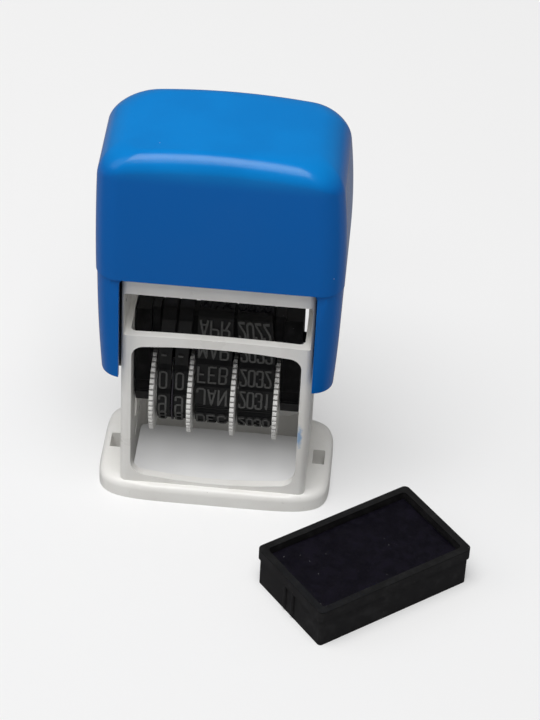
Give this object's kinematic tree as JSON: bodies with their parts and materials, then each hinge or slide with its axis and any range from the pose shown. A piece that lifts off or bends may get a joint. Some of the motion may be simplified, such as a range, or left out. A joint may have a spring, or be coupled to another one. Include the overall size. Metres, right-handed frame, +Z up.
{
  "type": "self-inking date stamp",
  "caption": "Pocket self-inking date stamp with blue press cap, white windowed frame, turning type holder with thumb wheels and bands, and its ink pad lying beside it.",
  "frame": {"origin": "middle of the set's box (stamp and pad together), on the surface that both stand on", "axes": "+Z up out of the cap, +X to the right along the date, -Y towards the person reading the wheels"},
  "size_m": [0.0756, 0.0656, 0.083],
  "materials": {
    "shell_blue": "satin, finely grained",
    "frame_white": "satin",
    "holder_black": "satin",
    "wheel_grey": "matt",
    "band_rubber": "matt",
    "pad_black": "satin",
    "pad_felt_ink": "ink-soaked",
    "spring_steel": "drawn wire"
  },
  "bodies": {
    "frame": {"frame": "frame_white", "return_spring": "spring_steel"},
    "press": {"cap": "shell_blue", "stirrup": "holder_black"},
    "holder": {"carrier_left_cheek": "holder_black", "carrier_right_cheek": "holder_black", "platen": "holder_black", "wheel_axle": "spring_steel", "day_spacer_disc": "wheel_grey", "band_day_tens": "band_rubber", "band_day_units": "band_rubber", "band_month": "band_rubber", "band_year": "band_rubber"},
    "wheel_day_tens": {"wheel_day_tens": "wheel_grey"},
    "wheel_day_units": {"wheel_day_units": "wheel_grey"},
    "wheel_month": {"wheel_month": "wheel_grey"},
    "wheel_year": {"wheel_year": "wheel_grey"},
    "ink_pad": {"pad_tray": "pad_black", "pad_felt": "pad_felt_ink"}
  },
  "joints": [
    {"name": "cap_press", "type": "slide", "parent": "frame", "child": "press", "axis": [0, 0, -1], "range_m": [0, 0.015], "stiffness_N_per_m": 400, "springref_m": -0.005, "deforming": ["return_spring"]},
    {"name": "holder_flip", "type": "hinge", "parent": "press", "child": "holder", "pos_m": [-0.01417, 0.01821, 0.02825], "axis": [-1, 0, 0], "range_deg": [0, 180]},
    {"name": "wheel_day_tens_turn", "type": "hinge", "parent": "holder", "child": "wheel_day_tens", "pos_m": [-0.02687, 0.01821, 0.01985], "axis": [1, 0, 0], "continuous": true},
    {"name": "wheel_day_units_turn", "type": "hinge", "parent": "holder", "child": "wheel_day_units", "pos_m": [-0.01935, 0.01821, 0.01985], "axis": [1, 0, 0], "continuous": true},
    {"name": "wheel_month_turn", "type": "hinge", "parent": "holder", "child": "wheel_month", "pos_m": [-0.01077, 0.01821, 0.01985], "axis": [1, 0, 0], "continuous": true},
    {"name": "wheel_year_turn", "type": "hinge", "parent": "holder", "child": "wheel_year", "pos_m": [-0.00224, 0.01821, 0.01985], "axis": [1, 0, 0], "continuous": true},
    {"name": "pad_lift", "type": "slide", "parent": "frame", "child": "ink_pad", "axis": [0, 0, 1], "range_m": [0, 0.05]}
  ],
  "couplings": [
    {"joint": "holder_flip", "follows": "cap_press", "rad_per_m": 209.44}
  ]
}
